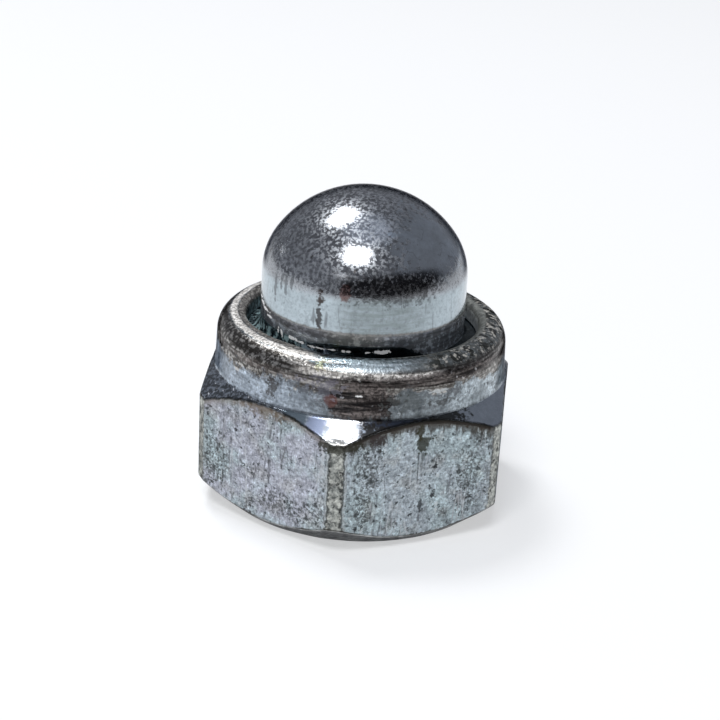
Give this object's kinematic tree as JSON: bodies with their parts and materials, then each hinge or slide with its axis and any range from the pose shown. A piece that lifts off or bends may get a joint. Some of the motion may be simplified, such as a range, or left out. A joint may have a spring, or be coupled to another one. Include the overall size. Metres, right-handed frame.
{
  "type": "cap nut",
  "caption": "Hexagon locking nut closed by a domed sheet cap, which covers and protects the end of the screw.",
  "frame": {"origin": "on the axis of the thread, in the flat face that bears on the work", "axes": "+Z along the thread, towards the crown of the cap; two corners of the hexagon on the Y axis, two flats across the X axis"},
  "size_m": [0.017, 0.0192, 0.018],
  "materials": {
    "zinc_nut": "satin",
    "nylon": "matte",
    "zinc_cap": "gloss"
  },
  "bodies": {
    "root": {"nut_body": "zinc_nut", "locking_ring": "nylon", "dome_cap": "zinc_cap"}
  },
  "joints": []
}
